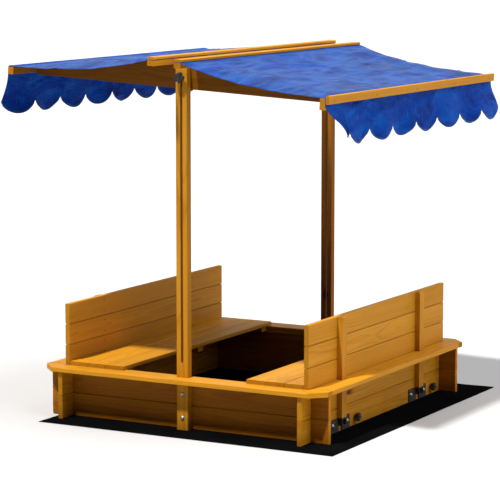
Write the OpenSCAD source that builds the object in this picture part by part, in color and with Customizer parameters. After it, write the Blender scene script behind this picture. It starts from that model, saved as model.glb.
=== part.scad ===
// Square timber sandbox with two loose benches and a tilting, height-adjustable fabric roof.
// Origin: on the ground, at the centre of the box. +X right, +Y to the back, +Z up.

/* [Box] */
// Outside width of the rim, left to right
rim_x = 1200; // [1000:10:1440]
// Outside depth of the rim, front to back
rim_y = 1300; // [1080:10:1560]
// Width of a rim board
rim_w = 92; // [80:1:110]
// Thickness of a rim board
rim_t = 18; // [14:1:24]
// Length cut off each outer corner of the rim, along each side
rim_cut = 58; // [20:1:80]
// Distance from the rim's outer edge to the wall's outer face
wall_inset = 82; // [70:1:100]
// How far a wall board runs past the wall that it crosses
wall_run = 72; // [40:1:76]
// Thickness of a wall board
wall_t = 18; // [15:1:24]
// Height of one wall board
wall_h = 89; // [70:1:120]
// Gap between the lower and the upper wall board
wall_gap = 1; // [0.5:0.5:4]

/* [Ground sheet] */
// Thickness of the fleece under the box
sheet_t = 2; // [1:0.5:4]
// How far the sheet sticks out past the rim, front and back
sheet_y_out = 75; // [20:5:120]
// Width of the sheet, left to right
sheet_x = 1240; // [1060:10:1500]
// Sideways shift of the sheet from the box's centre
sheet_shift = 66; // [0:1:80]

/* [Benches] */
// Width of a seat or back slat
slat_w = 77; // [60:1:90]
// Gap between neighbouring slats
slat_gap = 2; // [1:0.5:5]
// Thickness of a seat slat
seat_t = 16; // [12:1:22]
// Thickness of a back slat
back_t = 18; // [14:1:22]
// Slats in each seat and each back
slats = 3; // [2:1:3]
// Length of the benches, front to back
bench_len = 1172; // [1000:2:1380]
// Width of a batten
batten_w = 38; // [30:1:50]
// Thickness of a batten
batten_t = 20; // [15:1:24]
// Distance between the centres of a back's two battens
batten_pitch = 676; // [500:2:900]
// Height of a back batten's foot above the ground
batten_foot = 56; // [54:1:80]
// How far a back batten stops short of the top edge
batten_short = 2; // [2:1:20]
// Bevel at a back batten's top, outer edge
batten_bevel = 5; // [2:1:15]
// How far a back lifts out of its rim notches
lift_travel = 150; // [50:5:160]
// How far a seat slides towards the middle
seat_travel = 220; // [50:5:225]

/* [Posts] */
// Width of a post, left to right
post_w = 48; // [40:1:60]
// Depth of a post, front to back
post_d = 30; // [24:1:45]
// Height of a post's top above the ground
post_top = 1340; // [1100:10:1610]
// Width of the slot
slot_w = 10; // [9:0.5:14]
// Height of the slot's lower end above the rim
slot_foot = 54; // [30:1:100]
// Solid wood left above the slot
slot_cap = 28; // [20:1:60]

/* [Roof] */
// Width over the eave caps
roof_x = 1334; // [1200:2:1600]
// Length of the rails and the canopy
roof_y = 1450; // [1300:10:1740]
// Sideways tilt at rest, right side down
roof_tilt = 3; // [0:0.1:8]
// Depth of the clamp bolt below the post's top
bolt_drop = 36; // [34:1:80]
// Height of the clamp bolt above a gable's lower edge
gable_low = 43; // [30:1:60]
// Thickness of a gable board
gable_t = 18; // [15:1:24]
// Height of a gable's end
gable_end = 30; // [20:1:40]
// Clear width between the two ridge rails
ridge_clear = 84; // [80:1:120]
// Width of a ridge rail
ridge_w = 27; // [20:1:35]
// Thickness of the lower ridge rail
ridge_t = 20; // [12:1:30]
// Thickness of the upper ridge rail
ridge_cap_t = 10; // [8:1:20]
// Height of the lower ridge rail's underside above the clamp bolt
ridge_z = 44; // [44:1:70]
// Width of the inner eave rail
eave_w = 21; // [15:1:30]
// Height of the inner eave rail
eave_h = 42; // [30:1:60]
// How far the inner eave rail hangs below the gable
eave_below = 10; // [0:1:20]
// Thickness of the outer eave rail
eave_cap_t = 12; // [8:1:20]
// Height of the outer eave rail
eave_cap_h = 30; // [20:1:40]
// Width of the left eave rail, which the fabric wraps
sleeve_w = 22; // [16:1:30]
// Height of the left eave rail
sleeve_h = 28; // [20:1:40]
// Thickness of the canopy fabric
fabric_t = 1.6; // [1:0.2:3]
// Depth of the valance below the outer eave rail, to its points
valance_drop = 152; // [100:2:200]
// Depth of the valance's scallops
scallop = 46; // [20:1:70]
// Scallops along each valance
scallops = 8; // [5:1:12]

/* [Hardware] */
// Radius of the clamp and post bolts
bolt_r = 4; // [3:0.5:4]
// Radius of a wood screw's head
screw_head_r = 3.8; // [3:0.2:5]
// Radius of a clamp knob, over its lobes
knob_r = 21; // [16:1:26]
// Thickness of a clamp knob's grip
knob_t = 15; // [10:1:22]
// Radius of a wall knob, over its lobes
side_knob_r = 16; // [14:1:22]
// Thickness of a wall knob's grip
side_knob_t = 12; // [10:1:18]
// Height of the wall knobs above the ground
side_knob_z = 34; // [28:1:50]
// Distance from a batten's centre back to its wall knob
side_knob_back = 130; // [110:1:160]
// Half the width of a foot bracket
bracket_half = 78; // [60:1:95]

/* [Hidden] */
$fn = 40;

// Clearances
wood_clear = 0.3;   // between crossing or sliding boards
notch_clear = 1.5;  // around a batten in its rim notch
run_clear = 0.08;   // radial, round a bolt that turns
hole_clear = 0.3;   // radial, round a bolt or screw that doesn't
eps = 0.01;         // overrun of a cut

// Heights
lower_z = sheet_t;
upper_z = lower_z + wall_h + wall_gap;
rim_z = upper_z + wall_h;
rim_top = rim_z + rim_t;
bolt_z = post_top - bolt_drop;

// Wall and rim places
wall_ox = rim_x / 2 - wall_inset;
wall_oy = rim_y / 2 - wall_inset;
rim_ix = rim_x / 2 - rim_w;
rim_iy = rim_y / 2 - rim_w;

// Bench places
panel_w = slats * slat_w + (slats - 1) * slat_gap;
back_ix = wall_ox - back_t;
seat_ox = back_ix - 2;
seat_ix = seat_ox - panel_w;
seat_z = rim_top;
back_z = rim_top;
slat_step = slat_w + slat_gap;
seat_batten_y = wall_oy - wall_t - 3 - batten_w / 2;
ease = 2;

// Roof places, in the roof's own frame with the clamp bolt's axis at z = 0
post_oy = wall_oy + post_d;
gable_oy = wall_oy - 0.5;
cap_gap = fabric_t + 0.6;
rail_in = ridge_clear / 2;
rail_out = rail_in + ridge_w;
clamp_z = ridge_z + ridge_t;
eave_out = roof_x / 2;
eave_mid = eave_out - eave_cap_t - cap_gap;
eave_in = eave_mid - eave_w;
eave_bottom = -gable_low - eave_below;
eave_top = eave_bottom + eave_h;

// The right eave is a rail with a cap, and the left one a single rail inside the fabric
sleeve_top = eave_top + 4;
sleeve_in = eave_out - sleeve_w;
function rail_x(side) = side > 0 ? eave_in : sleeve_in;
function rail_face(side) = side > 0 ? eave_mid : eave_out;
function rail_top(side) = side > 0 ? eave_top : sleeve_top;
function skin_slope(side) = (clamp_z - rail_top(side)) / (rail_x(side) - rail_out);

// Hardware places
screw_r = 1.8;
screw_sink = 2.6;
washer_t = 2;
washer_y = post_oy + 0.3;
knob_y = washer_y + washer_t + 0.3;
knob_neck = 7;
bracket_t = 4;
bracket_top = batten_foot - 1;
knob_colour = [0.06, 0.06, 0.065];
wood = [0.80, 0.56, 0.22];
wood_dark = [0.62, 0.40, 0.14];
fabric = [0.05, 0.22, 0.72];
steel = [0.72, 0.72, 0.70];

// Plank along X with its four long edges eased, centred on X and Y, its underside at z = 0
module plank(len, w, t, e = ease) {
    h = w / 2;
    rotate([90, 0, 90])
        linear_extrude(len, center = true)
            polygon([[-h + e, 0], [h - e, 0], [h, e], [h, t - e],
                     [h - e, t], [-h + e, t], [-h, t - e], [-h, e]]);
}

// The same plank along Y
module plank_y(len, w, t, e = ease) {
    rotate([0, 0, 90]) plank(len, w, t, e);
}

// Hole for a screw that enters a face pointing along +Z at the origin
module screw_cut(len) {
    translate([0, 0, -screw_sink]) cylinder(r = screw_head_r + hole_clear, h = screw_sink + 1);
    translate([0, 0, -len - 0.5]) cylinder(r = screw_r + hole_clear, h = len + 1);
}

// Screw with a flat head, for the same face
module screw(len) {
    translate([0, 0, -screw_sink + 0.3]) cylinder(r = screw_head_r, h = screw_sink - 0.6);
    translate([0, 0, -len]) cylinder(r = screw_r, h = len - screw_sink + 0.4);
}

// Carries a child from a face pointing along +Z to one that points along +X or -X
module facing_x(side) {
    rotate([0, side * 90, 0]) children();
}

// Five-lobed grip with its neck on z = 0 and its axis along +Z
module star_grip(radius, thick) {
    lobe_r = radius * 0.28;
    cylinder(r = radius * 0.45, h = knob_neck + 0.5);
    translate([0, 0, knob_neck])
        linear_extrude(thick) {
            circle(r = radius * 0.66);
            for (k = [0:4]) rotate(k * 72) translate([radius - lobe_r, 0]) circle(r = lobe_r);
        }
    translate([0, 0, knob_neck + thick - 0.5]) cylinder(r = radius * 0.5, h = 3);
}

// ---- Ground sheet ----

module ground_sheet() {
    color(knob_colour)
        translate([sheet_shift, 0, sheet_t / 2])
            cube([sheet_x, rim_y + 2 * sheet_y_out, sheet_t], center = true);
}

// ---- Walls: boards halved into each other where they cross ----

// Front (side = -1) or back (side = 1) board, notched from above
module wall_along_x(side, z) {
    color(wood_dark)
        difference() {
            translate([0, side * (wall_oy - wall_t / 2), z])
                plank(2 * (wall_ox + wall_run), wall_t, wall_h);
            for (s = [-1, 1])
                translate([s * (wall_ox - wall_t / 2), side * (wall_oy - wall_t / 2),
                           z + wall_h * 0.75 + eps])
                    cube([wall_t + 2 * wood_clear, wall_t + 2, wall_h / 2 + 2 * eps], center = true);
            translate([0, side * (wall_oy + 1), z + wall_h / 2])
                rotate([side * 90, 0, 0]) cylinder(r = bolt_r + hole_clear, h = wall_t + 2);
            if (z > lower_z) rim_screw_cuts();
        }
}

// Left (side = -1) or right (side = 1) board, notched from below
module wall_along_y(side, z) {
    color(wood)
        difference() {
            translate([side * (wall_ox - wall_t / 2), 0, z])
                plank_y(2 * (wall_oy + wall_run), wall_t, wall_h);
            for (s = [-1, 1])
                translate([side * (wall_ox - wall_t / 2), s * (wall_oy - wall_t / 2),
                           z + wall_h * 0.25 - eps])
                    cube([wall_t + 2, wall_t + 2 * wood_clear, wall_h / 2 + 2 * eps], center = true);
            if (z > lower_z) rim_screw_cuts();
            if (z == lower_z) {
                for (s = [-1, 1]) side_knob_at(side, s, wall_ox + 1)
                    cylinder(r = bolt_r + run_clear, h = 2 * wall_t, center = true);
                bracket_screw_places(side) screw_cut(wall_t - 3);
            }
        }
}

// ---- Rim ----

// Screw places through the rim into the wall ends: [x, y]
rim_screw_x = wall_ox - wall_t / 2;
rim_screw_y = wall_oy + wall_run / 2;
rim_long_screws = [for (s = [-1, 1]) for (t = [-1, 1]) [s * rim_screw_x, t * rim_screw_y]];
rim_end_screws = [for (s = [-1, 1]) for (t = [-1, 1])
                  [s * (wall_ox + wall_run * 0.6), t * (wall_oy - wall_t / 2 + 3)]];
rim_mid_screws = [for (s = [-1, 1]) for (t = [-1, 1])
                  [s * rim_x * 0.21, t * (wall_oy - 5)]];
rim_side_screws = [for (s = [-1, 1]) for (y = [-0.33, 0, 0.33]) [s * (wall_ox - 5), y * rim_y * 0.38]];
rim_screw_list = concat(rim_long_screws, rim_mid_screws);
rim_side_list = concat(rim_end_screws, rim_side_screws);
rim_screw_len = rim_t + 22;

module rim_screw_cuts() {
    for (p = concat(rim_screw_list, rim_side_list))
        translate([p[0], p[1], rim_top]) screw_cut(rim_screw_len);
}

module rim_screws() {
    color(steel)
        for (p = concat(rim_screw_list, rim_side_list))
            translate([p[0], p[1], rim_top]) screw(rim_screw_len);
}

// Front or back rim board: full width, outer corners cut off, a notch for the post
module rim_along_x(side) {
    color(wood)
        difference() {
            translate([0, side * (rim_y / 2 - rim_w / 2), rim_z]) plank(rim_x, rim_w, rim_t);
            for (s = [-1, 1])
                translate([s * rim_x / 2, side * rim_y / 2, rim_z - 1])
                    rotate([0, 0, 45])
                        cube([rim_cut * sqrt(2), rim_cut * sqrt(2), 2 * rim_t + 4], center = true);
            translate([0, side * (rim_iy - 10 + (post_oy + wood_clear)) / 2, rim_z + rim_t / 2])
                cube([post_w + 2 * wood_clear, post_oy + wood_clear - rim_iy + 10, rim_t + 2],
                     center = true);
            rim_screw_cuts();
        }
}

// Left or right rim board: between the front and back ones, notched for the back's battens
module rim_along_y(side) {
    notch_out = wall_ox + batten_t + notch_clear;
    color(wood)
        difference() {
            translate([side * (rim_x / 2 - rim_w / 2), 0, rim_z])
                plank_y(2 * rim_iy - 2 * wood_clear, rim_w, rim_t);
            for (s = [-1, 1])
                translate([side * (rim_ix - 10 + notch_out) / 2, s * batten_pitch / 2, rim_z + rim_t / 2])
                    cube([notch_out - rim_ix + 10, batten_w + 2 * notch_clear, rim_t + 2], center = true);
            rim_screw_cuts();
        }
}

// ---- Posts ----

module post(side) {
    slot_low = rim_top + slot_foot;
    slot_high = post_top - slot_cap;
    color(wood)
        difference() {
            translate([0, side * (wall_oy + post_d / 2), sheet_t])
                linear_extrude(post_top - sheet_t)
                    polygon([[-post_w / 2 + ease, -post_d / 2], [post_w / 2 - ease, -post_d / 2],
                             [post_w / 2, -post_d / 2 + ease], [post_w / 2, post_d / 2 - ease],
                             [post_w / 2 - ease, post_d / 2], [-post_w / 2 + ease, post_d / 2],
                             [-post_w / 2, post_d / 2 - ease], [-post_w / 2, -post_d / 2 + ease]]);
            translate([0, side * (wall_oy + post_d / 2), (slot_low + slot_high) / 2])
                cube([slot_w, post_d + 2, slot_high - slot_low - slot_w], center = true);
            for (z = [slot_low + slot_w / 2, slot_high - slot_w / 2])
                translate([0, side * (wall_oy - 1), z])
                    rotate([-side * 90, 0, 0]) cylinder(r = slot_w / 2, h = post_d + 2);
            for (z = [lower_z, upper_z])
                translate([0, side * (wall_oy - 1), z + wall_h / 2])
                    rotate([-side * 90, 0, 0]) cylinder(r = bolt_r + hole_clear, h = post_d + 2);
        }
}

// Places a child at each post bolt, its +Z pointing away from the box, z = 0 on the post's face
module post_bolt_places() {
    for (side = [-1, 1])
        for (z = [lower_z, upper_z])
            translate([0, side * post_oy, z + wall_h / 2])
                rotate([-side * 90, 0, 0]) children();
}

module post_bolts() {
    shaft = post_d + wall_t + 9;
    color(steel)
        post_bolt_places() {
            cylinder(r1 = bolt_r * 2.2, r2 = bolt_r * 1.3, h = 3.5);
            translate([0, 0, -shaft]) cylinder(r = bolt_r, h = shaft + 1);
        }
}

module post_nuts() {
    color(steel)
        post_bolt_places()
            translate([0, 0, -post_d - wall_t - 7.5])
                difference() {
                    union() {
                        cylinder(r = bolt_r * 1.8, h = 6, $fn = 6);
                        translate([0, 0, 6]) cylinder(r = bolt_r * 2.6, h = 1.5);
                    }
                    translate([0, 0, -1]) cylinder(r = bolt_r + 0.05, h = 10);
                }
}

// ---- Foot brackets under the back battens, and the wall knobs ----

// Places a child on a wall's outer face at a bracket's screws, its +Z pointing outwards
module bracket_screw_places(side) {
    for (s = [-1, 1])
        for (t = [-1, 1])
            translate([side * (wall_ox + bracket_t), s * batten_pitch / 2 + t * (bracket_half - 18),
                       bracket_top / 2 + 4])
                facing_x(side) children();
}

// One bracket: two wings joined by a step that the batten's foot stands on
module foot_bracket(side, s) {
    wing = bracket_half - batten_w / 2 + 6;
    step_out = batten_t + 1;
    translate([side * wall_ox, s * batten_pitch / 2, 0]) {
        for (t = [-1, 1])
            translate([side * bracket_t / 2, t * (bracket_half - wing / 2), (bracket_top + sheet_t + 2) / 2])
                cube([bracket_t, wing, bracket_top - sheet_t - 2], center = true);
        for (t = [-1, 1])
            translate([side * step_out / 2, t * (batten_w / 2 + 2 - 6), bracket_top - 14])
                cube([step_out, 4, 28], center = true);
        translate([side * step_out / 2, 0, bracket_top - 2])
            cube([step_out, batten_w, 4], center = true);
    }
}

module foot_brackets() {
    color(knob_colour)
        difference() {
            for (side = [-1, 1]) for (s = [-1, 1]) foot_bracket(side, s);
            for (side = [-1, 1]) bracket_screw_places(side) cylinder(r = screw_r + hole_clear, h = 30, center = true);
        }
}

module bracket_nuts() {
    color(steel)
        for (side = [-1, 1])
            bracket_screw_places(side) {
                translate([0, 0, 0.1]) cylinder(r1 = screw_head_r * 2.2, r2 = screw_head_r * 1.2, h = 5);
                translate([0, 0, -wall_t + 4]) cylinder(r = screw_r, h = wall_t - 3.5);
            }
}

// Places a child on the axis of a wall knob, its +Z pointing outwards
module side_knob_at(side, s, x) {
    translate([side * x, s * batten_pitch / 2 + side_knob_back, side_knob_z]) facing_x(side) children();
}

module side_knob(side, s) {
    color(knob_colour)
        side_knob_at(side, s, wall_ox + 0.3) {
            star_grip(side_knob_r, side_knob_t);
            translate([0, 0, -wall_t + 3]) cylinder(r = bolt_r, h = wall_t - 2);
        }
}

// ---- Benches ----

function slat_place(i) = seat_ix + slat_w / 2 + i * slat_step;
seat_batten_ys = [-seat_batten_y, 0, seat_batten_y];
slat_screw_off = slat_w * 0.27;

// Screw places on a seat's top, for the right side
module seat_screw_places(side) {
    for (i = [0:slats - 1])
        for (y = seat_batten_ys)
            for (t = [-1, 1])
                translate([side * (slat_place(i) + t * slat_screw_off), y, seat_z + seat_t]) children();
}

module seat_slats(side) {
    color(wood)
        difference() {
            for (i = [0:slats - 1])
                translate([side * slat_place(i), 0, seat_z]) plank_y(bench_len, slat_w, seat_t);
            seat_screw_places(side) screw_cut(seat_t + 12);
        }
}

module seat_battens(side) {
    len = panel_w - 8;
    color(wood_dark)
        difference() {
            for (y = seat_batten_ys)
                translate([side * (seat_ix + panel_w / 2), y, seat_z - batten_t + 1])
                    plank(len, batten_w, batten_t - 1);
            seat_screw_places(side) screw_cut(seat_t + 12);
        }
}

module seat_screws(side) {
    color(steel) seat_screw_places(side) screw(seat_t + 12);
}

// Screw places on a back's inner face
module back_screw_places(side) {
    for (i = [0:slats - 1])
        for (s = [-1, 1])
            for (t = [-1, 1])
                translate([side * back_ix, s * batten_pitch / 2, back_z + slat_w / 2 + i * slat_step
                           + t * slat_screw_off])
                    facing_x(-side) children();
}

module back_slats(side) {
    color(wood)
        difference() {
            for (i = [0:slats - 1])
                translate([side * (back_ix + back_t / 2), 0, back_z + i * slat_step])
                    plank_y(bench_len, back_t, slat_w);
            back_screw_places(side) screw_cut(back_t + 12);
        }
}

// Battens run down through the rim's notches and along the wall
module back_battens(side) {
    top = back_z + panel_w - batten_short;
    color(wood_dark)
        difference() {
            for (s = [-1, 1])
                translate([side * wall_ox, s * batten_pitch / 2, 0])
                    rotate([90, 0, 0])
                        linear_extrude(batten_w, center = true)
                            polygon([[0, batten_foot], [side * batten_t, batten_foot],
                                     [side * batten_t, top - batten_bevel],
                                     [side * (batten_t - batten_bevel), top], [0, top]]);
            back_screw_places(side) screw_cut(back_t + 12);
        }
}

module back_screws(side) {
    color(steel) back_screw_places(side) screw(back_t + 12);
}

// ---- Roof, tilted about the clamp bolts ----

module on_roof() {
    translate([0, 0, bolt_z]) rotate([0, roof_tilt, 0]) children();
}

function gable_top(side, x) = clamp_z - (x - rail_out) * skin_slope(side) - 1;
function gable_out(side) = rail_x(side) - wood_clear;
function gable_tip(side) = min(-gable_low + gable_end, gable_top(side, gable_out(side)));

module gable(side) {
    color(wood_dark)
        on_roof()
            difference() {
                translate([0, side * (gable_oy - gable_t / 2), 0])
                    rotate([90, 0, 0])
                        linear_extrude(gable_t, center = true)
                            polygon([[-gable_out(-1), -gable_low], [gable_out(1), -gable_low],
                                     [gable_out(1), gable_tip(1)],
                                     [rail_out + 1, gable_top(1, rail_out + 1)], [rail_out + 1, clamp_z - 2],
                                     [-rail_out - 1, clamp_z - 2], [-rail_out - 1, gable_top(-1, rail_out + 1)],
                                     [-gable_out(-1), gable_tip(-1)]]);
                for (s = [-1, 1])
                    translate([s * (rail_in + ridge_w / 2), side * (gable_oy - gable_t / 2), ridge_z + 20])
                        cube([ridge_w + 2 * wood_clear, gable_t + 2, 40], center = true);
                translate([0, side * (gable_oy + 1), 0])
                    rotate([side * 90, 0, 0]) cylinder(r = bolt_r + run_clear, h = gable_t + 2);
                roof_screw_cuts();
            }
}

// Rail along Y with its section's corner at [x0, z0]
module rail(x0, z0, w, h) {
    translate([x0 + w / 2, 0, z0]) plank_y(roof_y, w, h, 1.5);
}

module ridge_rail(side) {
    color(wood_dark)
        on_roof()
            difference() {
                rail(side * (rail_in + ridge_w / 2) - ridge_w / 2, ridge_z, ridge_w, ridge_t);
                roof_screw_cuts();
            }
}

module ridge_cap(side) {
    color(wood)
        on_roof()
            difference() {
                rail(side * (rail_in + ridge_w / 2) - ridge_w / 2, clamp_z + cap_gap, ridge_w, ridge_cap_t);
                roof_screw_cuts();
            }
}

module eave_rail(side) {
    color(wood_dark)
        on_roof()
            difference() {
                if (side > 0) rail(eave_in, eave_bottom, eave_w, eave_h);
                else rail(-eave_out, sleeve_top - sleeve_h, sleeve_w, sleeve_h);
                roof_screw_cuts();
            }
}

// Outer rail of the right eave, over the fabric
module eave_cap() {
    color(wood)
        on_roof()
            difference() {
                rail(eave_out - eave_cap_t, eave_top + 9 - eave_cap_h, eave_cap_t, eave_cap_h);
                roof_screw_cuts();
            }
}

// Screw places along the caps, in the roof's frame
cap_screws = 5;
cap_screw_ys = [for (k = [0:cap_screws - 1]) (k / (cap_screws - 1) - 0.5) * (roof_y - 90)];
skin_gap = (cap_gap - fabric_t) / 2;

module ridge_screw_places() {
    for (s = [-1, 1])
        for (y = cap_screw_ys)
            translate([s * (rail_in + ridge_w / 2), y, clamp_z + cap_gap + ridge_cap_t]) children();
}

module eave_screw_places() {
    for (y = cap_screw_ys) {
        translate([eave_out, y, eave_top + 5 - eave_cap_h / 2]) facing_x(1) children();
        translate([-eave_out - skin_gap - fabric_t, y, sleeve_top - sleeve_h / 2]) facing_x(-1) children();
    }
}

module gable_screw_places() {
    for (s = [-1, 1])
        for (t = [-1, 1])
            translate([s * (rail_face(s) + eps), t * (gable_oy - gable_t / 2), -gable_low + gable_end / 2])
                facing_x(s) children();
}

ridge_screw_len = ridge_cap_t + cap_gap + 14;
eave_screw_len = eave_cap_t + cap_gap + 14;
gable_screw_len = eave_w + 24;

module roof_screw_cuts() {
    ridge_screw_places() screw_cut(ridge_screw_len);
    eave_screw_places() screw_cut(eave_screw_len);
    gable_screw_places() screw_cut(gable_screw_len);
}

module roof_screws() {
    color(steel)
        on_roof() {
            ridge_screw_places() screw(ridge_screw_len);
            eave_screw_places() screw(eave_screw_len);
            gable_screw_places() screw(gable_screw_len);
        }
}

// Fabric from between the ridge rails down to the eave
module canopy(side) {
    g = skin_gap;
    low = rail_top(side) + g;
    high = clamp_z + g;
    end = rail_face(side) + g + fabric_t;
    color(fabric)
        on_roof()
            difference() {
                rotate([90, 0, 0])
                    linear_extrude(roof_y, center = true)
                        polygon([[side * rail_in, high], [side * rail_out, high], [side * rail_x(side), low],
                                 [side * end, low], [side * end, low + fabric_t],
                                 [side * rail_x(side), low + fabric_t], [side * rail_out, high + fabric_t],
                                 [side * rail_in, high + fabric_t]]);
                roof_screw_cuts();
            }
}

// Scalloped strip that hangs down the outside of the eave rail, behind the right one's cap
module valance(side) {
    g = skin_gap;
    top = rail_top(side) + g;
    low = eave_top + 9 - eave_cap_h - valance_drop;
    pitch = roof_y / scallops;
    color(fabric)
        on_roof()
            difference() {
                translate([side * (rail_face(side) + g + fabric_t / 2), 0, 0])
                    rotate([90, 0, 90])
                        linear_extrude(fabric_t, center = true)
                            polygon(concat([[-roof_y / 2, top], [-roof_y / 2, low + scallop]],
                                [for (k = [0:scallops - 1]) for (j = [0:8])
                                    [-roof_y / 2 + (k + j / 8 * 0.998 + 0.001) * pitch,
                                     low + scallop * (1 - sin(j / 8 * 180))]],
                                [[roof_y / 2, low + scallop], [roof_y / 2, top]]));
                roof_screw_cuts();
            }
}

// ---- Clamp bolts, washers and knobs ----

// Places a child on a clamp bolt's axis, its +Z pointing away from the box, z = 0 at the distance y
module clamp_at(side, y) {
    translate([0, side * y, bolt_z]) rotate([-side * 90, 0, 0]) children();
}

module roof_bolts() {
    inner = gable_oy - gable_t;
    color(steel)
        for (side = [-1, 1])
            clamp_at(side, inner) {
                translate([0, 0, -4]) cylinder(r = bolt_r * 2.2, h = 3.7);
                translate([0, 0, -2]) cylinder(r = bolt_r, h = knob_y + knob_neck + knob_t - 4 - inner);
            }
}

module roof_washers() {
    color(steel)
        for (side = [-1, 1])
            clamp_at(side, washer_y)
                difference() {
                    cylinder(r = bolt_r * 2.9, h = washer_t);
                    translate([0, 0, -1]) cylinder(r = bolt_r + run_clear, h = washer_t + 2);
                }
}

module knob(side) {
    color(knob_colour)
        clamp_at(side, knob_y)
            difference() {
                star_grip(knob_r, knob_t);
                translate([0, 0, -1]) cylinder(r = bolt_r + run_clear, h = knob_neck + knob_t - 1);
            }
}

ground_sheet();
wall_along_x(-1, lower_z);  // wall_front_lower
wall_along_x(-1, upper_z);  // wall_front_upper
wall_along_x(1, lower_z);  // wall_back_lower
wall_along_x(1, upper_z);  // wall_back_upper
wall_along_y(-1, lower_z);  // wall_left_lower
wall_along_y(-1, upper_z);  // wall_left_upper
wall_along_y(1, lower_z);  // wall_right_lower
wall_along_y(1, upper_z);  // wall_right_upper
rim_along_x(-1);  // rim_front
rim_along_x(1);  // rim_back
rim_along_y(-1);  // rim_left
rim_along_y(1);  // rim_right
rim_screws();
post(-1);  // post_front
post(1);  // post_back
post_bolts();
post_nuts();
foot_brackets();
bracket_nuts();
seat_slats(-1);  // seat_left_slats
seat_battens(-1);  // seat_left_battens
seat_screws(-1);  // seat_left_screws
seat_slats(1);  // seat_right_slats
seat_battens(1);  // seat_right_battens
seat_screws(1);  // seat_right_screws
back_slats(-1);  // back_left_slats
back_battens(-1);  // back_left_battens
back_screws(-1);  // back_left_screws
back_slats(1);  // back_right_slats
back_battens(1);  // back_right_battens
back_screws(1);  // back_right_screws
roof_bolts();
roof_washers();
knob(-1);  // knob_front
knob(1);  // knob_back
gable(-1);  // gable_front
gable(1);  // gable_back
ridge_rail(-1);  // ridge_rail_left
ridge_rail(1);  // ridge_rail_right
ridge_cap(-1);  // ridge_cap_left
ridge_cap(1);  // ridge_cap_right
eave_rail(-1);  // eave_rail_left
eave_rail(1);  // eave_rail_right
eave_cap();  // eave_cap_right
roof_screws();
canopy(-1);  // canopy_left
canopy(1);  // canopy_right
valance(-1);  // valance_left
valance(1);  // valance_right
side_knob(-1, -1);  // side_knob_left_front
side_knob(-1, 1);  // side_knob_left_back
side_knob(1, -1);  // side_knob_right_front
side_knob(1, 1);  // side_knob_right_back
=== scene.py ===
"""Timber sandbox with two benches and a tilting fabric roof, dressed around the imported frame. Metres."""
import math

import bpy
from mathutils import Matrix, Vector, noise


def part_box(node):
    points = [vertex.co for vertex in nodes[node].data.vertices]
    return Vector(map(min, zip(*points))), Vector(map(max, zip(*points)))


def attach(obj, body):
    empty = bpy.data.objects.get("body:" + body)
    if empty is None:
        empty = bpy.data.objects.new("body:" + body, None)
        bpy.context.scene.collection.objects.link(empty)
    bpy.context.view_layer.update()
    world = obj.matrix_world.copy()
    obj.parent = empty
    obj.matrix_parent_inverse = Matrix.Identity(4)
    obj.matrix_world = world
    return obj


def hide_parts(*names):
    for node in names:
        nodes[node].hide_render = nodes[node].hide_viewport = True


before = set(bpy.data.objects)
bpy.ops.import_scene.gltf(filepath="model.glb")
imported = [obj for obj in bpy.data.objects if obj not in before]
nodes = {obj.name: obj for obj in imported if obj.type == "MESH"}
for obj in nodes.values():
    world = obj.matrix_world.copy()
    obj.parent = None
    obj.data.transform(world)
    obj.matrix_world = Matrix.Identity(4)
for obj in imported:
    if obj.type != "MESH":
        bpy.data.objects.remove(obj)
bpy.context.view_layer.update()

# ---------------------------------------------------------------- shader helpers


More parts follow.
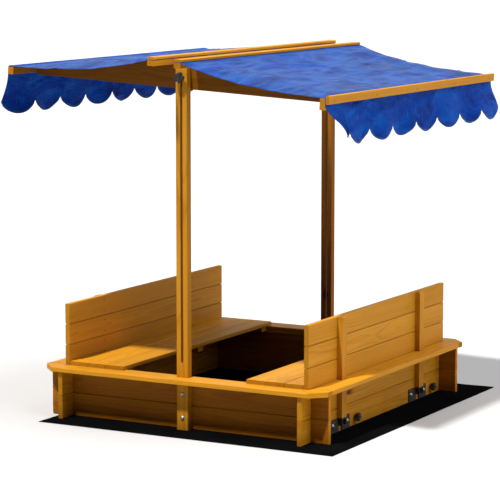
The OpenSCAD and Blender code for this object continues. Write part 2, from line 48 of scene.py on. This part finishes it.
class Mat:
    """A node material under construction. Its methods take and return sockets, or plain numbers."""

    def __init__(self, name):
        self.mat = bpy.data.materials.new(name)
        self.mat.use_nodes = True
        self.tree = self.mat.node_tree
        self.tree.nodes.clear()
        self.out = self.node("ShaderNodeOutputMaterial")
        self.bsdf = self.node("ShaderNodeBsdfPrincipled")
        self.link(self.bsdf.outputs[0], self.out.inputs["Surface"])

    def node(self, kind, **settings):
        made = self.tree.nodes.new(kind)
        for key, value in settings.items():
            setattr(made, key, value)
        return made

    def link(self, a, b):
        self.tree.links.new(a, b)

    def put(self, value, socket):
        if isinstance(value, bpy.types.NodeSocket):
            self.link(value, socket)
        else:
            socket.default_value = value

    def math(self, op, a, b=None, clamp=False):
        made = self.node("ShaderNodeMath", operation=op, use_clamp=clamp)
        for socket, value in zip(made.inputs, (a, b)):
            if value is not None:
                self.put(value, socket)
        return made.outputs[0]

    def plus(self, a, b, clamp=False):
        return self.math("ADD", a, b, clamp)

    def minus(self, a, b):
        return self.math("SUBTRACT", a, b)

    def times(self, a, b):
        return self.math("MULTIPLY", a, b)

    def about_half(self, value, gain):
        """A noise's swing round its middle: (value - 0.5) * gain."""
        return self.times(self.minus(value, 0.5), gain)

    def lines(self, value, sharpness):
        """Lines where a noise passes its middle, sharper as the number grows."""
        off = self.math("ABSOLUTE", self.about_half(value, sharpness))
        return self.math("SUBTRACT", 1.0, off, clamp=True)

    def split(self, vector):
        made = self.node("ShaderNodeSeparateXYZ")
        self.link(vector, made.inputs[0])
        return list(made.outputs)

    def vector(self, x, y, z):
        made = self.node("ShaderNodeCombineXYZ")
        for socket, value in zip(made.inputs, (x, y, z)):
            self.put(value, socket)
        return made.outputs[0]

    def noise(self, vector, scale=1.0, detail=3.0, rough=0.5, distortion=0.0):
        made = self.node("ShaderNodeTexNoise")
        self.link(vector, made.inputs["Vector"])
        made.inputs["Scale"].default_value = scale
        made.inputs["Detail"].default_value = detail
        made.inputs["Roughness"].default_value = rough
        made.inputs["Distortion"].default_value = distortion
        return made.outputs[0]

    def ramp(self, value, stops):
        made = self.node("ShaderNodeValToRGB")
        elements = made.color_ramp.elements
        while len(elements) < len(stops):
            elements.new(0.5)
        for element, (place, colour) in zip(elements, stops):
            element.position = place
            if not hasattr(colour, "__len__"):
                colour = (colour, colour, colour)
            element.color = (*colour, 1.0)
        self.link(value, made.inputs[0])
        return made.outputs[0]

    def mix(self, factor, a, b, blend="MIX"):
        made = self.node("ShaderNodeMix", data_type="RGBA", blend_type=blend)
        self.put(factor, made.inputs[0])
        for value, socket in ((a, made.inputs[6]), (b, made.inputs[7])):
            if isinstance(value, (tuple, list)):
                value = (*value, 1.0)
            self.put(value, socket)
        return made.outputs[2]

    def bump(self, height, distance, strength=1.0, normal=None):
        made = self.node("ShaderNodeBump")
        made.inputs["Strength"].default_value = strength
        made.inputs["Distance"].default_value = distance
        self.link(height, made.inputs["Height"])
        if normal is not None:
            self.link(normal, made.inputs["Normal"])
        return made.outputs[0]

    def finish(self, colour, rough, normal=None, **constants):
        """Joins up the Principled shader; constants are its other inputs, with _ for a space."""
        self.put(colour if not isinstance(colour, tuple) else (*colour, 1.0), self.bsdf.inputs["Base Color"])
        self.put(rough, self.bsdf.inputs["Roughness"])
        if normal is not None:
            self.link(normal, self.bsdf.inputs["Normal"])
        for key, value in constants.items():
            self.bsdf.inputs[key.replace("_", " ")].default_value = value
        return self.mat


def dress(node, material):
    """Gives a carried-over CAD node one material."""
    data = nodes[node].data
    data.materials.clear()
    data.materials.append(material)


# ---------------------------------------------------------------- wood

PINE_LIGHT = (0.64, 0.295, 0.024)
PINE_MID = (0.50, 0.205, 0.008)
PINE_DARK = (0.26, 0.078, 0.003)
KNOT = (0.085, 0.025, 0.003)
RING = 0.0072            # spacing of the growth rings
PITH_WANDER = 0.055      # how far the pith strays along a board
CLEAR_SHARE = 0.62       # share of the knots' places that stay clear
# Boards with a painted shade below this also get a redder painted shade.
DEEP_PAINTED_SHADE_BELOW = 0.9         # boards shaded below this are also redder


def pine(name, grain, seed, cells=None, pith=(0.02, 0.07), painted_shade=1.0, tilt=0.0):
    """Oiled softwood as a solid texture. grain is the axis that the board runs along, 0 to 2.

    cells is (axis, start, pitch) where one node holds several boards side by side, so that each gets its
    own figure. pith is where the tree's centre lies, across the grain.
    """
    m = Mat(name)
    coords = m.node("ShaderNodeTexCoord")
    xyz = m.split(coords.outputs["Object"])
    if tilt:
        turned = m.node("ShaderNodeMapping")
        m.link(coords.outputs["Object"], turned.inputs["Vector"])
        turned.inputs["Rotation"].default_value = (0.0, -tilt, 0.0)
        xyz = m.split(turned.outputs[0])
    along = xyz[grain]
    across = [xyz[i] for i in range(3) if i != grain]
    chance = (seed * 0.6180339) % 1.0
    if cells:
        axis, start, pitch = cells
        board = m.math("FLOOR", m.math("DIVIDE", m.minus(xyz[axis], start), pitch))
        lucky = m.node("ShaderNodeTexWhiteNoise", noise_dimensions="1D")
        m.put(m.plus(board, seed * 1.37 + 0.5), lucky.inputs["W"])
        chance = lucky.outputs["Value"]
        along = m.plus(along, m.times(chance, 37.0))
    along = m.plus(along, seed * 3.17)
    u = m.plus(across[0], m.times(chance, 0.21))
    v = m.plus(across[1], seed * 0.53)

    def figure(length, width, *settings):
        """A noise stretched along the grain: features per metre along it and across it."""
        place = m.vector(m.times(along, length), m.times(u, width), m.times(v, width))
        return m.noise(place, 1.0, *settings)

    # Growth rings round a pith that wanders along the board
    wander = m.about_half(figure(1.5, 6.0, 2.0), PITH_WANDER)
    du = m.minus(across[0], pith[0])
    if cells:
        du = m.plus(du, m.about_half(chance, 0.06))
    dv = m.minus(across[1], pith[1])
    radius = m.plus(m.math("SQRT", m.plus(m.times(du, du), m.times(dv, dv))), wander)
    waves = m.math("FRACT", m.math("DIVIDE", radius, RING))
    late = m.ramp(waves, [(0.0, 0.05), (0.55, 0.22), (0.86, 1.0), (0.93, 0.9), (1.0, 0.05)])

    fibre = figure(9.0, 420.0, 3.0, 0.6)
    streak = figure(1.6, 46.0, 4.0, 0.55)
    blotch = figure(4.0, 9.0, 3.0)

    # Knots, far apart, each with a darker halo
    spots = m.node("ShaderNodeTexVoronoi", feature="F1")
    m.link(m.vector(m.times(along, 3.1), m.times(u, 8.0), m.times(v, 8.0)), spots.inputs["Vector"])
    spots.inputs["Scale"].default_value = 1.0
    spots.inputs["Randomness"].default_value = 1.0
    pick = m.node("ShaderNodeSeparateColor")
    m.link(spots.outputs["Color"], pick.inputs[0])
    chosen = m.math("GREATER_THAN", pick.outputs[0], CLEAR_SHARE)
    distance = m.plus(spots.outputs["Distance"], m.about_half(blotch, 0.03))
    knot = m.times(m.ramp(distance, [(0.045, 1.0), (0.075, 0.75), (0.10, 0.0)]), chosen)
    halo = m.times(m.ramp(distance, [(0.07, 0.8), (0.20, 0.0)]), chosen)

    tone = m.plus(m.times(late, 0.28), m.about_half(streak, 0.55))
    tone = m.plus(tone, m.about_half(fibre, 0.32))
    tone = m.plus(tone, m.times(halo, 0.45))
    tone = m.plus(tone, 0.27, clamp=True)
    colour = m.ramp(tone, [(0.0, PINE_LIGHT), (0.5, PINE_MID), (1.0, PINE_DARK)])
    colour = m.mix(knot, colour, KNOT)

    # Each board's own tone and painted shade, patchy oil, its end grain, and darker near the ground
    deep_painted_shade = painted_shade < DEEP_PAINTED_SHADE_BELOW
    # Painted shade: a board on a shaded side is painted darker as a whole.
    lift = m.plus(m.times(chance, 0.22), 0.84 * painted_shade)
    lift = m.plus(lift, m.about_half(blotch, 0.26))
    facing = m.split(coords.outputs["Normal"])[grain]
    end = m.math("GREATER_THAN", m.math("ABSOLUTE", facing), 0.8)
    # On boards with deep painted shade the end faces are painted lighter, as faces in light; on the others
    # end grain is darker.
    lift = m.times(lift, m.minus(1.0, m.times(end, -0.7 if deep_painted_shade else 0.30)))
    # Darker near the ground.
    low_darkening = m.ramp(m.plus(xyz[2], m.about_half(blotch, 0.06)), [(0.0, 0.72), (0.055, 1.0)])
    lift = m.times(lift, low_darkening)
    # A deep painted shade is also painted redder.
    tint = m.vector(lift, m.times(lift, 0.80 if deep_painted_shade else 1.0), m.times(lift, 0.5 if deep_painted_shade else 0.9))
    colour = m.mix(1.0, colour, tint, "MULTIPLY")

    rough = m.plus(m.plus(m.times(streak, 0.20), 0.45), m.times(end, 0.2))
    height = m.minus(m.plus(m.times(late, 0.6), m.times(fibre, 0.9)), m.times(knot, 0.8))
    return m.finish(colour, rough, m.bump(height, 0.00035, 0.7), Specular_IOR_Level=0.08)


TILT = math.radians(3.0)   # the roof's tilt at rest, right side down
PITCH = 0.079              # from one slat to the next
PITH_UNDER = 0.055         # the pith's usual depth under a board
PITH_ASIDE = 0.050         # and its distance to one side of a wall, a gable, a back or a post

# Nodes of one board, the axis they run along, and their painted shade: those on the sides that lie in shade
# are painted darker.
BOARDS = [
    (("wall_front_lower", "wall_front_upper", "wall_back_lower", "wall_back_upper"), 0, 0.52),
    (("wall_left_lower", "wall_left_upper", "wall_right_lower", "wall_right_upper"), 1, 1.0),
    (("rim_front", "rim_back"), 0, 1.0),
    (("rim_left", "rim_right"), 1, 1.0),
    (("post_front",), 2, 1.0),
    (("post_back",), 2, 0.48),
    (("gable_front", "gable_back"), 0, 0.27),
    (("ridge_rail_left", "ridge_rail_right", "ridge_cap_left", "ridge_cap_right"), 1, 1.0),
    (("eave_rail_left",), 1, 0.30),
    (("eave_rail_right", "eave_cap_right"), 1, 1.0),
]


def dress_boards(seed):
    """Gives each board a figure of its own, and returns the next seed."""
    for names, grain, painted_shade in BOARDS:
        for node in names:
            low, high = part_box(node)
            middle = [(low[i] + high[i]) / 2 for i in range(3) if i != grain]
            away = (-1) ** seed
            pith = (middle[0] + away * 0.012, middle[1] - PITH_UNDER)
            if "post" in node:
                pith = (middle[0] + 0.004, middle[1] + PITH_ASIDE)
            if "wall" in node or "gable" in node:
                outwards = PITH_ASIDE if low[1 - grain] > 0 else -PITH_ASIDE
                pith = (middle[0] + outwards, middle[1] + away * 0.01)
            tilt = TILT if "gable" in node else 0.0
            dress(node, pine(node + "_pine", grain, seed, pith=pith, painted_shade=painted_shade, tilt=tilt))
            seed += 1
    return seed


def dress_benches(seed):
    """Dresses the seats and backs, where one node holds several slats or battens."""
    for side in ("left", "right"):
        low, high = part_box(f"seat_{side}_slats")
        dress(f"seat_{side}_slats", pine(f"seat_{side}_pine", 1, seed, cells=(0, low[0] - 0.001, PITCH),
                                         pith=((low[0] + high[0]) / 2, low[2] - 0.06)))
        # The battens under the seats get a little painted shade.
        dress(f"seat_{side}_battens", pine(f"seat_{side}_batten_pine", 0, seed + 1, cells=(1, -2.0, 0.3),
                                           pith=(0.03, low[2] - 0.05), painted_shade=0.95))
        low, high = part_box(f"back_{side}_slats")
        beside = (low[0] + high[0]) / 2 + PITH_ASIDE
        dress(f"back_{side}_slats", pine(f"back_{side}_pine", 1, seed + 2, cells=(2, low[2] - 0.001, PITCH),
                                         pith=(beside, (low[2] + high[2]) / 2)))
        dress(f"back_{side}_battens", pine(f"back_{side}_batten_pine", 2, seed + 3, cells=(1, -2.0, 0.5),
                                           pith=(beside, 0.0)))
        seed += 4


# ---------------------------------------------------------------- hardware


def object_coords(m):
    return m.node("ShaderNodeTexCoord").outputs["Object"]


def steel(name, seed, dark, light, rough):
    m = Mat(name)
    vector = object_coords(m)
    cloud = m.noise(vector, 210.0 + seed, 4.0)
    fine = m.noise(vector, 2600.0, 2.0)
    colour = m.ramp(cloud, [(0.3, dark), (0.7, light)])
    return m.finish(colour, m.plus(m.times(cloud, 0.3), rough), m.bump(fine, 0.00006, 0.6), Metallic=0.95)


def black_plastic(name):
    m = Mat(name)
    vector = object_coords(m)
    grain = m.noise(vector, 1500.0, 2.0)
    wear = m.noise(vector, 90.0, 4.0)
    colour = m.ramp(wear, [(0.35, (0.010, 0.010, 0.011)), (0.75, (0.030, 0.029, 0.028))])
    rough = m.plus(m.times(wear, 0.25), 0.32)
    return m.finish(colour, rough, m.bump(grain, 0.0001, 0.7), Specular_IOR_Level=0.45)


def black_bracket(name):
    """Powder coat, worn through to brown in spots."""
    m = Mat(name)
    vector = object_coords(m)
    grain = m.noise(vector, 900.0, 3.0)
    wear = m.noise(vector, 60.0, 6.0, 0.65)
    colour = m.ramp(wear, [(0.3, (0.012, 0.012, 0.012)), (0.72, (0.035, 0.033, 0.030)),
                           (0.80, (0.16, 0.13, 0.10))])
    rough = m.ramp(wear, [(0.3, 0.42), (0.8, 0.62)])
    return m.finish(colour, rough, m.bump(grain, 0.00012, 0.6), Specular_IOR_Level=0.4)


def dress_hardware():
    zinc = steel("zinc", 3, (0.22, 0.21, 0.19), (0.42, 0.40, 0.36), 0.30)
    screw_zinc = steel("screw_zinc", 5, (0.10, 0.075, 0.04), (0.22, 0.17, 0.10), 0.35)
    for node in ("post_bolts", "post_nuts", "bracket_nuts", "roof_bolts", "roof_washers"):
        dress(node, zinc)
    for place in ("rim", "seat_left", "seat_right", "back_left", "back_right", "roof"):
        dress(f"{place}_screws", screw_zinc)
    dress("foot_brackets", black_bracket("bracket_black"))
    plastic = black_plastic("knob_black")
    for end in ("front", "back"):
        for knob in ("knob", "side_knob_left", "side_knob_right"):
            dress(f"{knob}_{end}", plastic)


# ---------------------------------------------------------------- fabric

YARN = 0.0011                # one repeat of the weave
SLOPE_FADE = (0.60, 0.66)    # where the slope gives way to the valance, in metres from the ridge
THROUGH = 0.28               # share of the light that the cloth lets through


def blue_fabric(name, base=(0.0008, 0.058, 0.42), dark=(0.0004, 0.026, 0.25), pale=(0.004, 0.115, 0.56)):
    """Woven, coated sheet with creases. Its UV map is in metres: down from the ridge, and along it."""
    m = Mat(name)
    down, ridgewise = m.split(m.node("ShaderNodeUVMap", uv_map="cloth").outputs[0])[:2]

    def stretched(share, layer, *settings):
        """A noise whose features are longer along the ridge, by one over the share."""
        return m.noise(m.vector(down, m.times(ridgewise, share), layer), *settings)

    turns = 2 * math.pi / YARN
    weave = m.times(m.math("SINE", m.times(down, turns)), m.math("SINE", m.times(ridgewise, turns)))
    slub = m.noise(m.vector(m.times(down, 14.0), m.times(ridgewise, 700.0), 0.0), 1.0, 2.0)
    fold = stretched(0.38, 0.0, 13.0, 5.0, 0.55, 0.6)
    crease_and_highlight = m.lines(stretched(0.26, 3.0, 10.0, 3.0, 0.5, 0.4), 9.0)
    crease_valley_shade = m.lines(stretched(0.34, 8.0, 6.5, 4.0, 0.5, 0.5), 16.0)
    patch = stretched(0.55, 5.0, 5.5, 4.0, 0.55)

    # Painted shade and light of the folds: the colour is darker and paler in patches that follow the fold
    # noise, with the yarn's own slub mixed in.
    tone = m.plus(m.times(fold, 0.7), m.times(slub, 0.3))
    colour = m.ramp(tone, [(0.36, dark), (0.50, base), (0.64, pale)])
    # The slopes lie in sun, creased: a grey sheen painted on, most low down, and a sheen of their own that
    # the valances lack
    start, end = SLOPE_FADE
    slope = m.ramp(down, [(start, 1.0), (end, 0.0)])
    # Painted sheen: a grey haze painted onto the slopes, in patches and strongest low down.
    low = m.ramp(down, [(0.10, 0.0), (0.45, 1.0), (start + 0.02, 1.0), (end, 0.0)])
    dust_and_sheen = m.plus(m.times(low, 0.50), m.about_half(patch, 2.2), clamp=True)
    colour = m.mix(m.times(m.times(dust_and_sheen, slope), 0.80), colour, (0.040, 0.056, 0.085))
    # Painted shade: darker lines painted along the slopes' crease valleys.
    colour = m.mix(m.times(m.times(crease_valley_shade, slope), 0.42), colour, (0.0004, 0.018, 0.14))
    # Painted glints: pale upright streaks painted on the valances, where sharp crinkles would catch the light
    upright = m.noise(m.vector(m.times(down, 11.0), m.times(ridgewise, 62.0), 0.0), 1.0, 3.0, 0.6, 0.4)
    glint = m.times(m.ramp(upright, [(0.62, 0.0), (0.74, 1.0)]), m.minus(1.0, slope))
    colour = m.mix(m.times(glint, 0.5), colour, (0.05, 0.22, 0.62))
    colour = m.mix(m.times(slope, 0.30), colour, (0.0004, 0.026, 0.20))
    # Painted highlight: pale lines painted along the creases on the slopes.
    colour = m.mix(m.times(m.times(crease_and_highlight, slope), 0.40), colour, (0.015, 0.17, 0.60))

    rough = m.plus(m.times(slub, 0.12), m.minus(0.40, m.times(crease_and_highlight, 0.08)))
    creases = m.bump(m.plus(m.lines(fold, 5.0), m.times(crease_and_highlight, 0.45)), 0.0075, 1.0)
    m.finish(colour, rough, m.bump(weave, 0.00022, 0.6, creases))
    m.put(m.plus(m.times(slope, 0.17), 0.03), m.bsdf.inputs["Specular IOR Level"])
    m.bsdf.inputs["Specular Tint"].default_value = (0.5, 0.7, 1.0, 1.0)

    glow = m.node("ShaderNodeBsdfTranslucent")
    m.link(colour, glow.inputs["Color"])
    m.link(creases, glow.inputs["Normal"])
    both = m.node("ShaderNodeMixShader")
    both.inputs[0].default_value = THROUGH
    m.link(m.bsdf.outputs[0], both.inputs[1])
    m.link(glow.outputs[0], both.inputs[2])
    m.link(both.outputs[0], m.out.inputs["Surface"])
    return m.mat


def fleece(name):
    m = Mat(name)
    vector = object_coords(m)
    felt = m.noise(vector, 420.0, 4.0, 0.7, 1.5)
    hair = m.noise(vector, 1900.0, 2.0, 0.6, 2.0)
    dust_and_sheen = m.noise(vector, 6.0, 5.0, 0.6)
    colour = m.ramp(m.plus(m.times(felt, 0.6), m.times(dust_and_sheen, 0.4)),
                    [(0.35, (0.0012, 0.0012, 0.0015)), (0.70, (0.0055, 0.0055, 0.006))])
    height = m.plus(m.times(felt, 0.7), m.times(hair, 0.3))
    return m.finish(colour, m.plus(m.times(felt, 0.1), 0.86), m.bump(height, 0.0008, 0.8),
                    Specular_IOR_Level=0.0)


def add_mesh(name, verts, faces, material, uv_of):
    """A smooth mesh object; uv_of gives a vertex's place on the cloth, in metres."""
    mesh = bpy.data.meshes.new(name)
    mesh.from_pydata([tuple(v) for v in verts], [], faces)
    layer = mesh.uv_layers.new(name="cloth")
    for loop in mesh.loops:
        layer.data[loop.index].uv = uv_of(loop.vertex_index)
    for polygon in mesh.polygons:
        polygon.use_smooth = True
    mesh.materials.append(material)
    obj = bpy.data.objects.new(name, mesh)
    bpy.context.scene.collection.objects.link(obj)
    return obj


def sheet_mesh(name, points, material, uv, thickness):
    """A sheet from a grid of points, rows of equal length."""
    rows, columns = len(points), len(points[0])
    faces = [(r * columns + c, r * columns + c + 1, (r + 1) * columns + c + 1, (r + 1) * columns + c)
             for r in range(rows - 1) for c in range(columns - 1)]
    obj = add_mesh(name, [p for row in points for p in row], faces, material,
                   lambda i: uv[i // columns][i % columns])
    thick = obj.modifiers.new("thickness", "SOLIDIFY")
    thick.thickness = thickness
    thick.offset = 0.0
    return obj


# ---------------------------------------------------------------- roof cover

BOLT = 1.304                 # height of the clamp bolts
# Places in the roof's own frame, which is level and centred on the bolts
HALF = 0.725                 # half the roof's length
SCALLOPS = 8
RIDGE_IN, RIDGE_OUT, RIDGE_Z = 0.0424, 0.069, 0.0651
GABLE_IN, GABLE_OUT = 0.5485, 0.5665
# At each eave: where the cloth meets the rail, where it turns down, its height there, and where it hangs free
EAVE = {"left": (0.6450, 0.6681, -0.0059, -0.036), "right": (0.6318, 0.6539, -0.0101, -0.033)}
SIGN = {"left": -1, "right": 1}
CUSP, LOBE = -0.138, 0.046   # the scallops' cusps, and how far their lobes reach below
LOBE_COLUMNS = 14            # columns of the mesh in each scallop
CLAMP_ROWS, SLOPE_ROWS, DROP_ROWS = 4, 44, 16   # its rows under the ridge cap, on the slope, down the valance
SAG, END_SAG = 0.012, 0.021  # between the gables, and at the free ends
BROAD, SMALL, FOLD = 0.0055, 0.0042, 0.0046   # heights of the slope's three kinds of creases
CORNER_CUT = 0.165           # how far the right valance's near edge slants back


def to_row(x, y, z):
    """From the roof's own frame to the row frame."""
    return Vector((x * math.cos(TILT) + z * math.sin(TILT), y,
                   BOLT - x * math.sin(TILT) + z * math.cos(TILT)))


def smooth(t):
    """Eases from 0 to 1, and stays there."""
    t = min(max(t, 0.0), 1.0)
    return t * t * (3 - 2 * t)


def sag(y, t):
    """How far the slope sags, t of the way from the ridge to the eave. The gables hold it up."""
    from_middle = abs(y)
    depth = 0.0
    if from_middle < GABLE_IN:
        depth = SAG * (1 - (from_middle / GABLE_IN) ** 4)
    elif from_middle >= GABLE_OUT:
        depth = END_SAG * ((from_middle - GABLE_OUT) / (HALF - GABLE_OUT)) ** 1.1
    return depth * math.sin(math.pi * t ** 0.82)


def wrinkle(y, t, sign):
    """Height of the slope's creases: none at the rails, few at the gables."""
    free = 0.15 + 0.85 * min(1.0, abs(abs(y) - (GABLE_IN + GABLE_OUT) / 2) / 0.10)
    window = min(1.0, t / 0.06) * min(1.0, (1 - t) / 0.06) * free
    broad = noise.noise(Vector((y * 2.1 + sign * 7.3, t * 1.6 + y * 0.9, 0.37 * sign)) * 1.7)
    small = noise.noise(Vector((y * 6.0 + t * 2.5, t * 2.2 - y * 1.3, 4.1 + sign)))
    fold = 1 - abs(noise.noise(Vector((y * 4.2 - t * 3.1 * sign, t * 3.4 + y * 2.0, 9.2 + sign)))) * 3.0
    return window * (BROAD * broad + SMALL * small + FOLD * max(fold, 0.0) ** 3)


def wave(y, drop, sign):
    """How far the hanging valance waves outwards, drop of the way down."""
    swing = 0.006 * math.sin(2 * math.pi * y / 0.27 + 1.1 * sign)
    swing += 0.009 * noise.noise(Vector((y * 5.5, 2.0 + sign, drop * 1.2)))
    return swing + 0.004 * noise.noise(Vector((y * 23.0, 8.0 + sign, drop * 2.2)))


def valance_row(drop, ys, side):
    """One row of the valance, drop of the way down: its points, and their heights in the roof's own frame."""
    sign = SIGN[side]
    _, eave_mid, eave_z, free_z = EAVE[side]
    first_cusp = -HALF + 2 * HALF / SCALLOPS
    top = eave_z - 0.006
    row, heights = [], []
    for column, start_y in enumerate(ys):
        lobe, t = divmod(column, LOBE_COLUMNS)
        t /= LOBE_COLUMNS
        bottom = CUSP - LOBE * max(math.sin(math.pi * t), 0.0) ** 0.68
        y = start_y
        if side == "right" and lobe == 0:
            # The right valance's near edge slants back, and its first scallop is pulled in
            bottom = -0.158 + 0.020 * t
            bow = 0.014 * math.sin(math.pi * min(drop * 1.6, 1.0))
            edge = -HALF - bow + CORNER_CUT * smooth(drop * 1.02)
            y = edge + (first_cusp - edge) * t
        z = top + (bottom - top) * drop
        hang = smooth((free_z - z) / 0.14)
        x = eave_mid + hang * wave(y, drop, sign)
        if side == "left":
            # The left one flares at its near corner
            near = math.exp(-(start_y + HALF) / 0.07)
            x += hang * 0.020 * near
            y -= hang * 0.010 * near
        else:
            # The right one blows outwards towards its far end, and rises as it swings
            blown = smooth((start_y + 0.30) / 1.0)
            x += hang * (0.006 + 0.044 * blown)
            z += hang * 0.012 * blown
        row.append(to_row(sign * x, y, z))
        heights.append(z)
    return row, heights


def roof_cloth(side, material):
    """One continuous sheet: clamped at the ridge, sagging to the eave, then down as the scalloped valance."""
    sign = SIGN[side]
    eave_in, eave_mid, eave_z, _ = EAVE[side]
    columns = SCALLOPS * LOBE_COLUMNS + 1
    ys = [-HALF + 2 * HALF * c / (columns - 1) for c in range(columns)]
    points, uv = [], []
    for r in range(CLAMP_ROWS):
        x = RIDGE_IN + (RIDGE_OUT - RIDGE_IN) * r / CLAMP_ROWS
        points.append([to_row(sign * x, y, RIDGE_Z) for y in ys])
        uv.append([(x, y) for y in ys])
    run = math.hypot(eave_in - RIDGE_OUT, RIDGE_Z - eave_z)
    for r in range(SLOPE_ROWS + 1):
        t = r / SLOPE_ROWS
        x = RIDGE_OUT + (eave_in - RIDGE_OUT) * t
        z = RIDGE_Z + (eave_z - RIDGE_Z) * t
        row = []
        for y in ys:
            lift = wrinkle(y, t, sign)
            if GABLE_IN - 0.02 < abs(y) < GABLE_OUT + 0.02:
                lift = abs(lift)
            row.append(to_row(sign * x, y, z - sag(y, t) + lift))
        points.append(row)
        uv.append([(RIDGE_OUT + run * t, y) for y in ys])
    base = RIDGE_OUT + run
    # The left sheet lies over its rail, the right one under a cap
    loose = 0.003 if side == "left" else 0.0
    for x, z in ((eave_in + 0.008, eave_z + loose), (eave_mid - 0.004, eave_z + loose),
                 (eave_mid - 0.0011, eave_z - 0.0009 + loose / 2), (eave_mid, eave_z - 0.004)):
        points.append([to_row(sign * x, y, z) for y in ys])
        uv.append([(base + x - eave_in, y) for y in ys])
    base += eave_mid - eave_in
    for r in range(DROP_ROWS + 1):
        row, heights = valance_row(r / DROP_ROWS, ys, side)
        points.append(row)
        uv.append([(base - z, y) for z, y in zip(heights, ys)])
    return sheet_mesh(f"roof_cloth_{side}", points, material, uv, 0.0006), points[-1]


def hem_mesh(name, path, out, material):
    """A flat binding folded over the valance's edge: a flattened tube along the path."""
    half_width, half_thickness, around = 0.0045, 0.0013, 8
    angles = [2 * math.pi * k / around for k in range(around)]
    verts, faces = [], []
    for i, p in enumerate(path):
        ahead = (path[min(i + 1, len(path) - 1)] - path[max(i - 1, 0)]).normalized()
        up = out.cross(ahead).normalized()
        across = ahead.cross(up).normalized()
        verts += [p + up * (half_width * math.cos(a)) + across * (half_thickness * math.sin(a))
                  for a in angles]
    for i in range(len(path) - 1):
        for k in range(around):
            n = (k + 1) % around
            faces.append((i * around + k, i * around + n, (i + 1) * around + n, (i + 1) * around + k))
    faces.append(tuple(range(around - 1, -1, -1)))
    faces.append(tuple((len(path) - 1) * around + k for k in range(around)))
    return add_mesh(name, verts, faces, material, lambda i: ((i % around) * 0.0015, (i // around) * 0.012))


def cover_roof():
    blue = blue_fabric("roof_blue")
    hem_blue = blue_fabric("hem_blue", (0.002, 0.035, 0.26), (0.001, 0.020, 0.18), (0.006, 0.06, 0.33))
    for side in ("left", "right"):
        cloth, edge = roof_cloth(side, blue)
        hem = hem_mesh(f"roof_hem_{side}", edge, Vector((SIGN[side], 0, 0)), hem_blue)
        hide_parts(f"canopy_{side}", f"valance_{side}")
        for piece in (cloth, hem):
            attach(piece, "roof")


# ---------------------------------------------------------------- ground sheet

BOX_X, BOX_Y = 0.60, 0.655   # beyond these the fleece lies free
WELL_X, WELL_Y = 0.49, 0.53  # and inside these


def lay_ground():
    """The ground fleece: flat under the box's walls, lightly rippled outside and inside them."""
    columns, rows, edge = 125, 146, 0.002
    low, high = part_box("ground_sheet")
    points, uv = [], []
    for r in range(rows):
        y = low[1] + edge + (high[1] - low[1] - 2 * edge) * r / (rows - 1)
        line = []
        for c in range(columns):
            x = low[0] + edge + (high[0] - low[0] - 2 * edge) * c / (columns - 1)
            outside = max(abs(x) - BOX_X, abs(y) - BOX_Y)
            inside = min(WELL_X - abs(x), WELL_Y - abs(y))
            ripple = 0.5 + 0.5 * noise.noise(Vector((x * 7, y * 7, 3.3)))
            z = 0.0008 + 0.0005 * ripple
            if outside > 0:
                z += min(outside / 0.03, 1.0) * 0.0028 * ripple ** 2
            elif inside > 0:
                z += (min((WELL_X - abs(x)) / 0.03, 1.0) * min((WELL_Y - abs(y)) / 0.03, 1.0)
                      * 0.0022 * ripple ** 2)
            line.append(Vector((x, y, z)))
        points.append(line)
        uv.append([(p.x, p.y) for p in line])
    ground = sheet_mesh("ground_fleece_sheet", points, fleece("fleece_black"), uv, 0.0012)
    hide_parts("ground_sheet")
    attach(ground, "box")


# ---------------------------------------------------------------- stage, light, camera


def add_floor():
    far = 30
    mesh = bpy.data.meshes.new("floor")
    mesh.from_pydata([(-far, -far, 0), (far, -far, 0), (far, far, 0), (-far, far, 0)], [], [(0, 1, 2, 3)])
    floor = bpy.data.objects.new("floor", mesh)
    bpy.context.scene.collection.objects.link(floor)
    mesh.materials.append(Mat("floor_pale").finish((0.52, 0.52, 0.52), 0.9, Specular_IOR_Level=0.1))


def add_backdrop():
    """A white backdrop behind the box and to its right; the side it is seen from stays dim."""
    world = bpy.data.worlds.new("studio")
    bpy.context.scene.world = world
    world.use_nodes = True
    tree = world.node_tree
    background = tree.nodes["Background"]
    background.inputs[0].default_value = (1.0, 1.0, 1.0, 1.0)
    direction = tree.nodes.new("ShaderNodeTexCoord")
    towards = tree.nodes.new("ShaderNodeVectorMath")
    towards.operation = "DOT_PRODUCT"
    towards.inputs[1].default_value = (0.35, 0.94, 0.0)
    tree.links.new(direction.outputs["Generated"], towards.inputs[0])
    glow = tree.nodes.new("ShaderNodeMapRange")
    tree.links.new(towards.outputs["Value"], glow.inputs["Value"])
    for place, value in (("From Min", -0.2), ("From Max", 0.5), ("To Min", 0.06), ("To Max", 1.05)):
        glow.inputs[place].default_value = value
    tree.links.new(glow.outputs["Result"], background.inputs[1])


def soft_sun(name, towards, strength, angle, colour=(1.0, 1.0, 1.0)):
    """A distant softbox: light from the direction of that point, soft over the given angle in degrees."""
    data = bpy.data.lights.new(name, "SUN")
    data.energy = strength
    data.angle = math.radians(angle)
    data.color = colour
    lamp = bpy.data.objects.new(name, data)
    lamp.rotation_euler = Vector(towards).to_track_quat("Z", "Y").to_euler()
    bpy.context.scene.collection.objects.link(lamp)


def add_camera():
    data = bpy.data.cameras.new("camera")
    data.sensor_width = 36.0
    data.lens = 172.706
    data.clip_end = 100.0
    camera = bpy.data.objects.new("camera", data)
    camera.location = (4.4022, -8.0994, 1.8597)
    camera.rotation_euler = (math.radians(90 - 7.769), 0.0, math.radians(28.759))
    bpy.context.scene.collection.objects.link(camera)
    bpy.context.scene.camera = camera


dress_benches(dress_boards(1))
dress_hardware()
cover_roof()
lay_ground()

add_floor()
add_backdrop()
bpy.context.scene.view_settings.view_transform = "Standard"
soft_sun("key", (-0.12, -0.47, 1.0), 4.8, 3.5, (1.0, 0.98, 0.95))
soft_sun("fill", (0.60, 0.0, 1.0), 1.5, 30.0)
add_camera()
